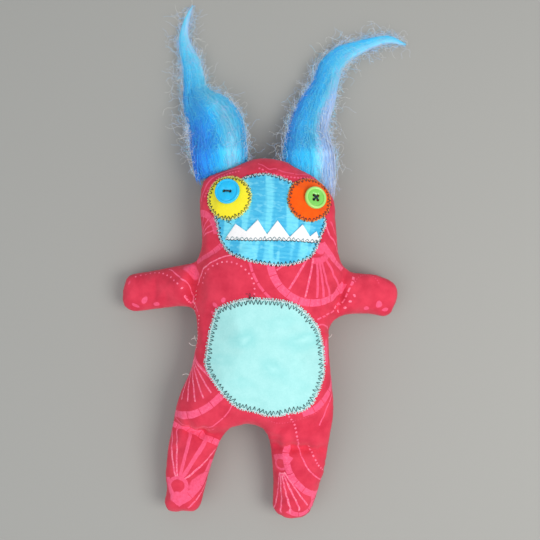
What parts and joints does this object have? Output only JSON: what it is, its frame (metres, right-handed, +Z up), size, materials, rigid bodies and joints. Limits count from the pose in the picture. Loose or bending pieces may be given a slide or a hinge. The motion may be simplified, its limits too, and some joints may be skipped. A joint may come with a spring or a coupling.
{
  "type": "plush monster",
  "caption": "Stuffed cloth monster lying on its back, with arms, legs and fluffy horns that fold at their creases, button eyes and a row of felt teeth.",
  "frame": {"origin": "middle of the flat on the back that the toy lies on, under the belly", "axes": "+Z up from the surface it lies on, the way the face looks, +Y towards the head and horns, +X to the right as seen from above"},
  "size_m": [0.2059, 0.3787, 0.0534],
  "materials": {
    "printed_cotton": "matt plain-woven cotton with a tone-on-tone print",
    "fibrefill": "loose white polyester fibrefill",
    "blue_felt": "brushed light blue felt",
    "aqua_fleece": "pale aqua fleece",
    "yellow_felt": "yellow felt",
    "orange_felt": "orange felt",
    "white_felt": "white felt",
    "blue_button": "glossy blue polyester",
    "green_button": "glossy green polyester",
    "dark_thread": "dark navy sewing thread",
    "blue_wool": "fluffy wool roving, deep blue to lavender"
  },
  "bodies": {
    "body": {"torso_cover": "printed_cotton", "torso_filling": "fibrefill", "head_cover": "printed_cotton", "head_filling": "fibrefill", "face_patch": "blue_felt", "belly_patch": "aqua_fleece", "yellow_eye_patch": "yellow_felt", "orange_eye_patch": "orange_felt", "teeth_strip": "white_felt", "blue_button": "blue_button", "blue_button_thread": "dark_thread", "green_button": "green_button", "green_button_thread": "dark_thread"},
    "arm_left": {"arm_left_cover": "printed_cotton", "arm_left_filling": "fibrefill"},
    "arm_right": {"arm_right_cover": "printed_cotton", "arm_right_filling": "fibrefill"},
    "leg_left": {"leg_left_cover": "printed_cotton", "leg_left_filling": "fibrefill"},
    "leg_right": {"leg_right_cover": "printed_cotton", "leg_right_filling": "fibrefill"},
    "horn_left": {"horn_left": "blue_wool"},
    "horn_right": {"horn_right": "blue_wool"}
  },
  "joints": [
    {"name": "arm_left_fold", "type": "hinge", "parent": "body", "child": "arm_left", "pos_m": [-0.049, 0.028, 0.022], "axis": [0, 1, 0], "range_deg": [-25, 65], "stiffness_Nm_per_rad": 0.03},
    {"name": "arm_right_fold", "type": "hinge", "parent": "body", "child": "arm_right", "pos_m": [0.0565, 0.0308, 0.022], "axis": [-0.1288, -0.9917, 0], "range_deg": [-25, 65], "stiffness_Nm_per_rad": 0.03},
    {"name": "leg_left_fold", "type": "hinge", "parent": "body", "child": "leg_left", "pos_m": [-0.038, -0.0795, 0.019], "axis": [-0.9826, 0.1857, 0], "range_deg": [-15, 75], "stiffness_Nm_per_rad": 0.04},
    {"name": "leg_right_fold", "type": "hinge", "parent": "body", "child": "leg_right", "pos_m": [0.037, -0.0845, 0.019], "axis": [-1, 0, 0], "range_deg": [-15, 75], "stiffness_Nm_per_rad": 0.04},
    {"name": "horn_left_fold", "type": "hinge", "parent": "body", "child": "horn_left", "pos_m": [-0.0365, 0.1135, 0.024], "axis": [0.8829, 0.4695, 0], "range_deg": [-15, 50], "stiffness_Nm_per_rad": 0.02},
    {"name": "horn_right_fold", "type": "hinge", "parent": "body", "child": "horn_right", "pos_m": [0.0265, 0.1175, 0.024], "axis": [0.9135, -0.4067, 0], "range_deg": [-15, 50], "stiffness_Nm_per_rad": 0.02}
  ]
}
